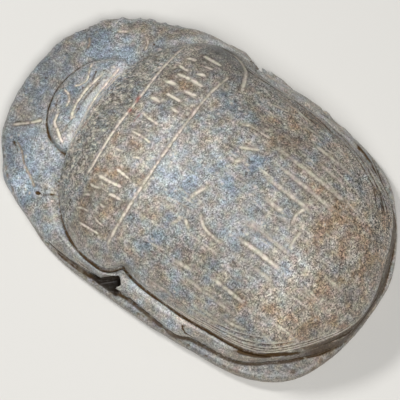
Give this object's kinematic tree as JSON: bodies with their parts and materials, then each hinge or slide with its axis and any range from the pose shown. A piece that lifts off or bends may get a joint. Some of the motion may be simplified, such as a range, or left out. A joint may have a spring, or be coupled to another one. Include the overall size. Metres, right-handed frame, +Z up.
{
  "type": "scarab amulet",
  "caption": "Carved stone scarab: a domed beetle with a smooth pronotum and wing cases over folded legs, on a flat oval plate, resting on its underside.",
  "frame": {"origin": "middle of the bounding box, on the flat underside", "axes": "+Z up out of the beetle's back, -Y towards its head, +X towards its left side"},
  "size_m": [0.0451, 0.0666, 0.0245],
  "materials": {
    "stone": "dull, hand-worn grey stone with brown earth in the cuts"
  },
  "bodies": {
    "root": {"scarab": "stone"}
  },
  "joints": []
}
